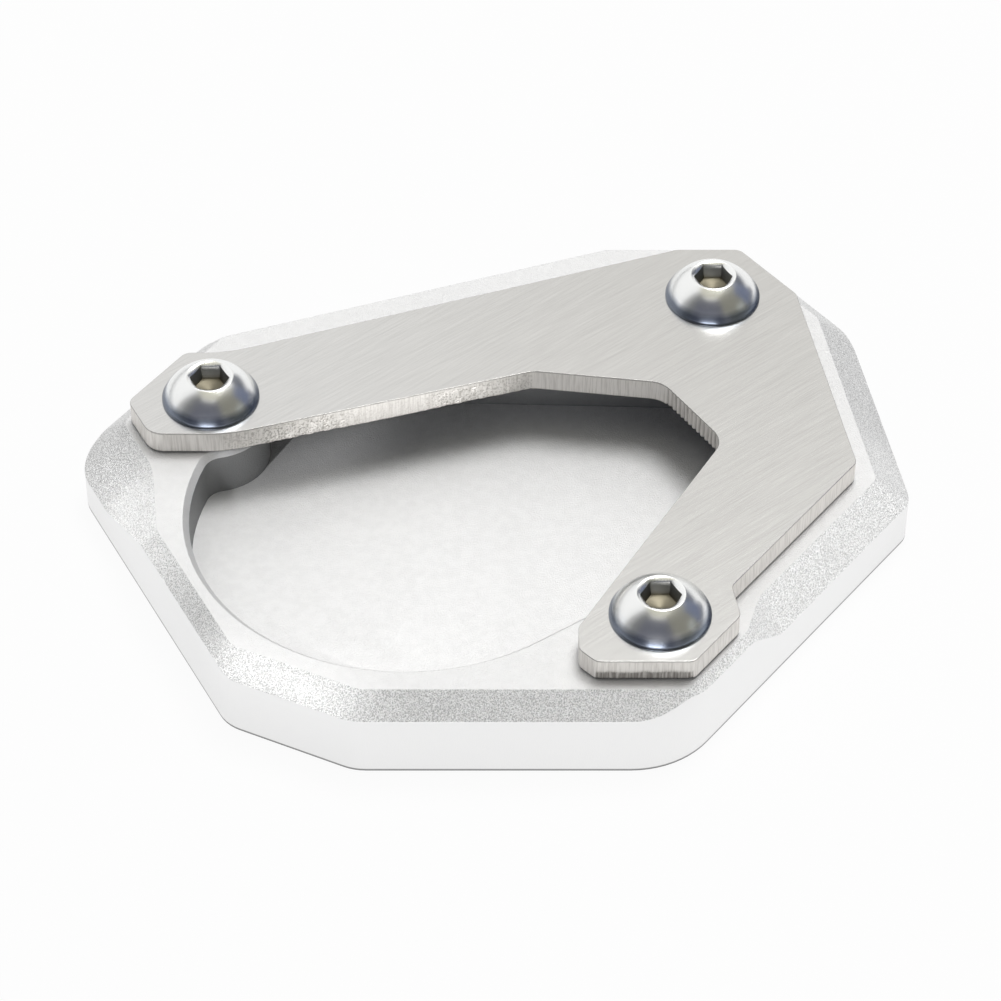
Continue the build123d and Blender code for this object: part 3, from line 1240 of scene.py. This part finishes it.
@dataclass
class Studio:
    """The pale floor, the soft light, the grey panels and the camera."""

    eye: Triple = (0.6, -264.58, 252.67)
    aim: Triple = (0.6, 3.7, -0.5)
    lens: float = 133.22
    sensor: float = 36.0
    nearest: float = 0.01
    floor_size: float = 6.0
    floor_colour: Colour = (0.93, 0.93, 0.93)
    floor_glow_seen: float = 0.94
    floor_glow_mirrored: float = 0.90
    room_light: float = 0.42

    cards: tuple[Card, ...] = (
        Card("camera_panel", (218, 299), (1, 63), (0.105, 0.11, 0.14), 0.90),
        Card("front_left_panel", (199, 222), (1, 66), (0.14, 0.145, 0.15), 0.92),
        Card("left_edge_panel", (184, 201), (1, 66), (0.34, 0.34, 0.34), 0.94),
        Card("front_right_panel", (297, 363), (1, 67), (0.22, 0.215, 0.18), 0.92),
        Card("low_right_patch", (296, 312), (5, 24), (0.38, 0.36, 0.35), 0.88),
        Card("side_patch", (338, 356), (17, 28), (0.40, 0.42, 0.40), 0.88),
        Card("right_panel", (1, 32), (10, 46), (0.14, 0.165, 0.25), 0.90),
        Card("right_side_panel", (30, 62), (16, 44), (0.10, 0.11, 0.14), 0.92),
        Card("right_top_panel", (0, 30), (44, 67), (0.28, 0.27, 0.22), 0.93),
        Card("right_low_panel", (0, 38), (0.5, 12), (0.10, 0.11, 0.14), 0.94),
        Card("left_low_panel", (104, 186), (0.5, 6), (0.25, 0.25, 0.25), 0.94),
        Card("back_right_panel", (42, 91), (24, 64), (0.84, 0.83, 0.81), 0.95),
        Card("overhead_panel", (0, 360), (66, 90), (0.60, 0.58, 0.48), 0.97),
    )

    lamps: tuple[Lamp, ...] = (
        Lamp("top_lamp", LampKind.SOFTBOX, 2.9, 58, 70, (0, 0, 0), (340, 340), distance=0.86),
        Lamp("bevel_lamp", LampKind.SNOOT, 19, 219, 42, (-19.5, -29, 8), (18, 3.9), 17, fade=0.2),
        Lamp("front_lamp", LampKind.SOFTBOX, 1.3, 262, 6, (0, 0, 0), (400, 120)),
        Lamp("right_lamp", LampKind.SNOOT, 7.8, 345, 15, (28.5, -16.5, 5.5), (50, 14.5), fade=0.3),
        Lamp("step_lamp", LampKind.SNOOT, 6.6, 150, 12, (-35.1, -7.3, 6.5), (5.2, 4.6), fade=0.4),
        Lamp("arm_lamp", LampKind.SNOOT, 24, 287, 6, (-10.0, 7.0, 11.3), (28, 7)),
        Lamp("pocket_lamp", LampKind.SNOOT, 22, 240, 32, (-18.5, 4.5, 4.0), (14, 5), 30),
    )

    @staticmethod
    def seen(nodes: Tree, camera: float, mirrored: float) -> Wire:
        """Say how much a ray from the camera or a reflection sees of the plain white.

        Args:
            nodes: The tree to add to.
            camera: The share for camera rays.
            mirrored: The share for rays that a metal or glass sends on.

        Returns:
            The share.
        """
        direct = nodes.add("ShaderNodeLightPath", output="Is Camera Ray")
        bounced = nodes.add("ShaderNodeLightPath", output="Is Glossy Ray")
        through = nodes.add("ShaderNodeLightPath", output="Is Transmission Ray")
        return (direct * camera).larger(bounced.larger(through) * mirrored)

    def floor(self) -> bpy.types.Object:
        """Lay the floor, which keeps a faint shadow.

        Returns:
            The floor.
        """
        half = self.floor_size / 2
        mesh = bpy.data.meshes.new("floor")
        corners = [(-half, -half, 0), (half, -half, 0), (half, half, 0), (-half, half, 0)]
        mesh.from_pydata(corners, [], [(0, 1, 2, 3)])
        made = add_object("floor", mesh)
        nodes = Finish("pale_floor")
        matt = nodes.add("ShaderNodeBsdfDiffuse", None, {"Color": (*self.floor_colour, 1.0)})
        glow = nodes.add("ShaderNodeEmission", None, {"Strength": 1.0})
        share = self.seen(nodes, self.floor_glow_seen, self.floor_glow_mirrored)
        shown = nodes.add("ShaderNodeMixShader", None, {0: share, 1: matt, 2: glow})
        nodes.add("ShaderNodeOutputMaterial", None, {"Surface": shown})
        nodes.material.cycles.emission_sampling = "NONE"
        mesh.materials.append(nodes.material)
        return made

    def world(self) -> None:
        """Set a white surround and a plain level of light."""
        world = bpy.data.worlds.new("studio")
        bpy.context.scene.world = world
        world.use_nodes = True
        nodes = Tree(world.node_tree)
        white = (1.0, 1.0, 1.0, 1.0)
        room, backdrop = (
            nodes.add("ShaderNodeBackground", None, {"Color": white, "Strength": strength})
            for strength in (self.room_light, 1.0)
        )
        share = self.seen(nodes, 1.0, 1.0)
        shown = nodes.add("ShaderNodeMixShader", None, {0: share, 1: room, 2: backdrop})
        nodes.add("ShaderNodeOutputWorld", None, {"Surface": shown})

    def camera(self) -> None:
        """Stand the camera where the photograph was taken from."""
        data = bpy.data.cameras.new("camera")
        data.lens = self.lens
        data.sensor_width = self.sensor
        data.clip_start = self.nearest
        made = add_object("camera", data)
        eye, aim = Vector(self.eye) * MM, Vector(self.aim) * MM
        made.location = eye
        made.rotation_mode = "QUATERNION"
        made.rotation_quaternion = (aim - eye).to_track_quat("-Z", "Y")
        bpy.context.scene.camera = made

    def build(self) -> None:
        """Build the studio."""
        bpy.context.scene.view_settings.view_transform = "Standard"
        self.floor()
        self.world()
        for card in self.cards:
            card.build()
        for lamp in self.lamps:
            lamp.build()
        self.camera()


def main() -> None:
    """Build the pieces in order, then the studio."""
    logging.basicConfig(level=logging.INFO, format="%(name)s: %(message)s")
    for part in (Pad(), Clamp(), Screws()):
        part.dress(part.build())
    Studio().build()


if __name__ == "__main__":
    main()
